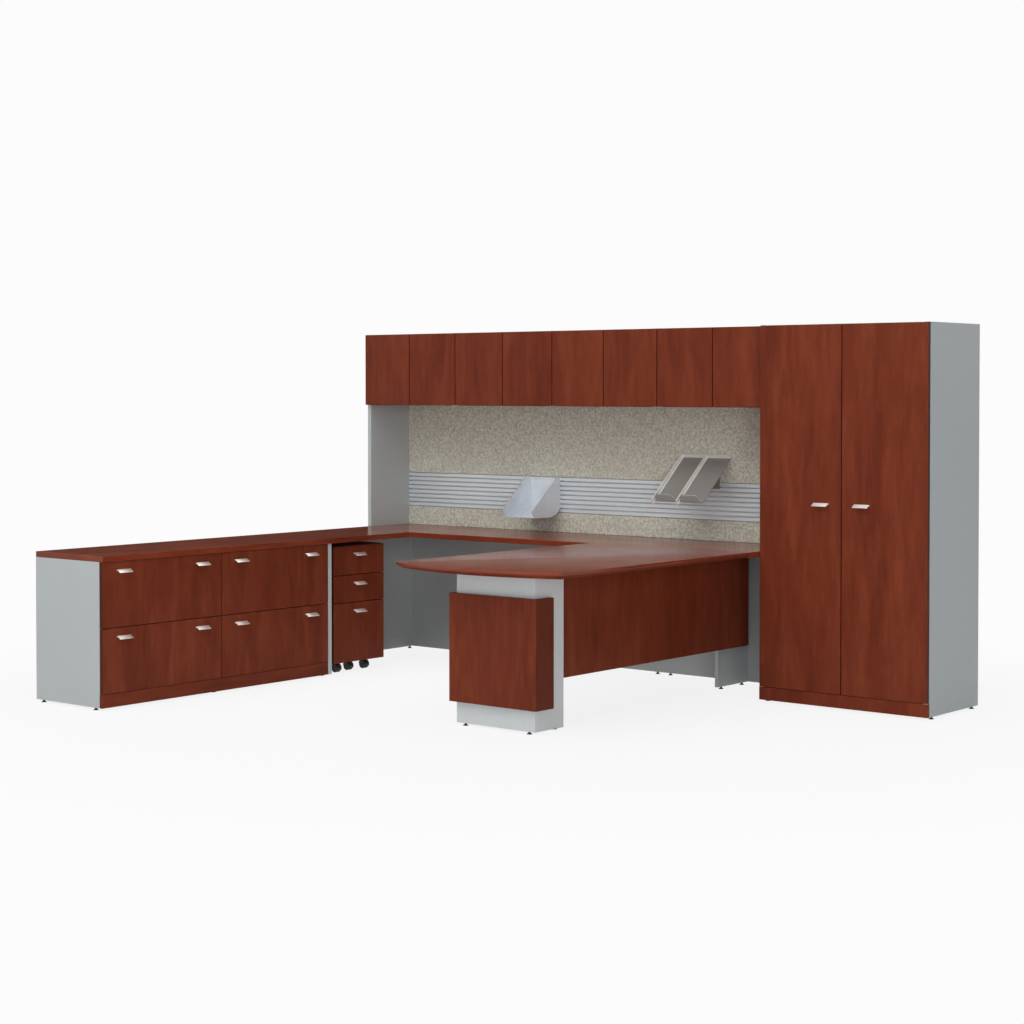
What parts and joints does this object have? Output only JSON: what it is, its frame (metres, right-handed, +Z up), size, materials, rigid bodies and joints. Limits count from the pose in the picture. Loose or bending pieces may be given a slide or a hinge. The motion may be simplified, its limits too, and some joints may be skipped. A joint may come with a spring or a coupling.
{
  "type": "office desk",
  "caption": "U-shaped office desk with lateral files, rolling pedestal, bow-front peninsula, overhead cabinet, slat rail and tall cabinet.",
  "frame": {"origin": "middle of the whole outline's footprint, on the floor", "axes": "+X along the rear wall towards the tall cabinet, +Y towards the wall behind the desk, +Z up"},
  "size_m": [3.6576, 2.7432, 1.841],
  "materials": {
    "cherry_wood": "satin",
    "cherry_top": "satin",
    "silver_panel": "matte",
    "tack_fabric": "woven",
    "silver_rail": "satin anodised",
    "nickel": "brushed",
    "steel": "satin",
    "drawer_board": "satin",
    "tray_metal": "satin",
    "black_plastic": "matte"
  },
  "bodies": {
    "desk": {"left_top": "cherry_top", "rear_top": "cherry_top", "peninsula_top": "cherry_top", "file_cases": "cherry_wood", "panel_legs": "silver_panel", "back_panels": "silver_panel", "peninsula_gable": "silver_panel", "gable_jacket": "cherry_wood", "modesty_panel": "cherry_wood", "overhead_case": "cherry_wood", "tackboards": "tack_fabric", "slat_rail": "silver_rail", "tower_case": "silver_panel", "tower_fittings": "cherry_wood", "fixed_hardware": "steel", "levelling_glides": "black_plastic"},
    "file_1_upper_drawer": {"file_1_upper_front": "cherry_wood", "file_1_upper_box": "drawer_board", "file_1_upper_pulls": "nickel"},
    "file_1_lower_drawer": {"file_1_lower_front": "cherry_wood", "file_1_lower_box": "drawer_board", "file_1_lower_pulls": "nickel"},
    "file_2_upper_drawer": {"file_2_upper_front": "cherry_wood", "file_2_upper_box": "drawer_board", "file_2_upper_pulls": "nickel"},
    "file_2_lower_drawer": {"file_2_lower_front": "cherry_wood", "file_2_lower_box": "drawer_board", "file_2_lower_pulls": "nickel"},
    "pedestal": {"pedestal_case": "cherry_wood"},
    "pencil_drawer_body": {"pencil_drawer": "cherry_wood", "pencil_drawer_pull": "nickel"},
    "box_drawer_body": {"box_drawer": "cherry_wood", "box_drawer_pull": "nickel"},
    "file_drawer_body": {"file_drawer": "cherry_wood", "file_drawer_pull": "nickel"},
    "caster_1": {"caster_fork_1": "black_plastic"},
    "wheels_1": {"caster_wheels_1": "black_plastic"},
    "caster_2": {"caster_fork_2": "black_plastic"},
    "wheels_2": {"caster_wheels_2": "black_plastic"},
    "caster_3": {"caster_fork_3": "black_plastic"},
    "wheels_3": {"caster_wheels_3": "black_plastic"},
    "caster_4": {"caster_fork_4": "black_plastic"},
    "wheels_4": {"caster_wheels_4": "black_plastic"},
    "caster_5": {"caster_fork_5": "black_plastic"},
    "wheels_5": {"caster_wheels_5": "black_plastic"},
    "tower_left": {"tower_door_left": "cherry_wood", "tower_pull_left": "nickel"},
    "tower_right": {"tower_door_right": "cherry_wood", "tower_pull_right": "nickel"},
    "over_door_1": {"overhead_door_1": "cherry_wood"},
    "over_door_2": {"overhead_door_2": "cherry_wood"},
    "over_door_3": {"overhead_door_3": "cherry_wood"},
    "over_door_4": {"overhead_door_4": "cherry_wood"},
    "over_door_5": {"overhead_door_5": "cherry_wood"},
    "over_door_6": {"overhead_door_6": "cherry_wood"},
    "over_door_7": {"overhead_door_7": "cherry_wood"},
    "over_door_8": {"overhead_door_8": "cherry_wood"},
    "left_tray": {"paper_tray_left": "tray_metal"},
    "right_tray": {"paper_tray_right": "tray_metal"},
    "shelf": {"binder_shelf": "tray_metal"}
  },
  "joints": [
    {"name": "file_1_upper_slide", "type": "slide", "parent": "desk", "child": "file_1_upper_drawer", "axis": [1, 0, 0], "range_m": [0, 0.4]},
    {"name": "file_1_lower_slide", "type": "slide", "parent": "desk", "child": "file_1_lower_drawer", "axis": [1, 0, 0], "range_m": [0, 0.4]},
    {"name": "file_2_upper_slide", "type": "slide", "parent": "desk", "child": "file_2_upper_drawer", "axis": [1, 0, 0], "range_m": [0, 0.4]},
    {"name": "file_2_lower_slide", "type": "slide", "parent": "desk", "child": "file_2_lower_drawer", "axis": [1, 0, 0], "range_m": [0, 0.4]},
    {"name": "pedestal_roll", "type": "slide", "parent": "desk", "child": "pedestal", "axis": [1, 0, 0], "range_m": [0, 0.6]},
    {"name": "pencil_drawer_slide", "type": "slide", "parent": "pedestal", "child": "pencil_drawer_body", "axis": [1, 0, 0], "range_m": [0, 0.33]},
    {"name": "box_drawer_slide", "type": "slide", "parent": "pedestal", "child": "box_drawer_body", "axis": [1, 0, 0], "range_m": [0, 0.33]},
    {"name": "file_drawer_slide", "type": "slide", "parent": "pedestal", "child": "file_drawer_body", "axis": [1, 0, 0], "range_m": [0, 0.33]},
    {"name": "caster_1_swivel", "type": "hinge", "parent": "pedestal", "child": "caster_1", "pos_m": [-1.4048, 0.3054, 0.05], "axis": [0, 0, 1], "continuous": true},
    {"name": "wheels_1_spin", "type": "hinge", "parent": "caster_1", "child": "wheels_1", "pos_m": [-1.4208, 0.3054, 0.023], "axis": [0, 1, 0], "continuous": true},
    {"name": "caster_2_swivel", "type": "hinge", "parent": "pedestal", "child": "caster_2", "pos_m": [-1.4048, 0.5214, 0.05], "axis": [0, 0, 1], "continuous": true},
    {"name": "wheels_2_spin", "type": "hinge", "parent": "caster_2", "child": "wheels_2", "pos_m": [-1.4208, 0.5214, 0.023], "axis": [0, 1, 0], "continuous": true},
    {"name": "caster_3_swivel", "type": "hinge", "parent": "pedestal", "child": "caster_3", "pos_m": [-1.7558, 0.3054, 0.05], "axis": [0, 0, 1], "continuous": true},
    {"name": "wheels_3_spin", "type": "hinge", "parent": "caster_3", "child": "wheels_3", "pos_m": [-1.7718, 0.3054, 0.023], "axis": [0, 1, 0], "continuous": true},
    {"name": "caster_4_swivel", "type": "hinge", "parent": "pedestal", "child": "caster_4", "pos_m": [-1.7558, 0.5214, 0.05], "axis": [0, 0, 1], "continuous": true},
    {"name": "wheels_4_spin", "type": "hinge", "parent": "caster_4", "child": "wheels_4", "pos_m": [-1.7718, 0.5214, 0.023], "axis": [0, 1, 0], "continuous": true},
    {"name": "caster_5_swivel", "type": "hinge", "parent": "pedestal", "child": "caster_5", "pos_m": [-1.4198, 0.4134, 0.05], "axis": [0, 0, 1], "continuous": true},
    {"name": "wheels_5_spin", "type": "hinge", "parent": "caster_5", "child": "wheels_5", "pos_m": [-1.4358, 0.4134, 0.023], "axis": [0, 1, 0], "continuous": true},
    {"name": "tower_left_hinge", "type": "hinge", "parent": "desk", "child": "tower_left", "pos_m": [0.9229, 0.8676, 1.641], "axis": [0, 0, -1], "range_deg": [0, 90]},
    {"name": "tower_right_hinge", "type": "hinge", "parent": "desk", "child": "tower_right", "pos_m": [1.8203, 0.8676, 1.641], "axis": [0, 0, 1], "range_deg": [0, 110]},
    {"name": "over_door_1_hinge", "type": "hinge", "parent": "desk", "child": "over_door_1", "pos_m": [-1.8203, 0.9696, 1.641], "axis": [0, 0, -1], "range_deg": [0, 90]},
    {"name": "over_door_2_hinge", "type": "hinge", "parent": "desk", "child": "over_door_2", "pos_m": [-1.152, 0.9696, 1.641], "axis": [0, 0, 1], "range_deg": [0, 90]},
    {"name": "over_door_3_hinge", "type": "hinge", "parent": "desk", "child": "over_door_3", "pos_m": [-1.135, 0.9696, 1.641], "axis": [0, 0, -1], "range_deg": [0, 90]},
    {"name": "over_door_4_hinge", "type": "hinge", "parent": "desk", "child": "over_door_4", "pos_m": [-0.4667, 0.9696, 1.641], "axis": [0, 0, 1], "range_deg": [0, 90]},
    {"name": "over_door_5_hinge", "type": "hinge", "parent": "desk", "child": "over_door_5", "pos_m": [-0.4497, 0.9696, 1.641], "axis": [0, 0, -1], "range_deg": [0, 90]},
    {"name": "over_door_6_hinge", "type": "hinge", "parent": "desk", "child": "over_door_6", "pos_m": [0.2186, 0.9696, 1.641], "axis": [0, 0, 1], "range_deg": [0, 90]},
    {"name": "over_door_7_hinge", "type": "hinge", "parent": "desk", "child": "over_door_7", "pos_m": [0.2356, 0.9696, 1.641], "axis": [0, 0, -1], "range_deg": [0, 90]},
    {"name": "over_door_8_hinge", "type": "hinge", "parent": "desk", "child": "over_door_8", "pos_m": [0.9039, 0.9696, 1.641], "axis": [0, 0, 1], "range_deg": [0, 90]},
    {"name": "left_tray_slide", "type": "slide", "parent": "desk", "child": "left_tray", "axis": [1, 0, 0], "range_m": [-0.35, 0]},
    {"name": "right_tray_slide", "type": "slide", "parent": "desk", "child": "right_tray", "axis": [1, 0, 0], "range_m": [0, 0.4]},
    {"name": "shelf_slide", "type": "slide", "parent": "desk", "child": "shelf", "axis": [1, 0, 0], "range_m": [-0.5, 0.4]}
  ]
}
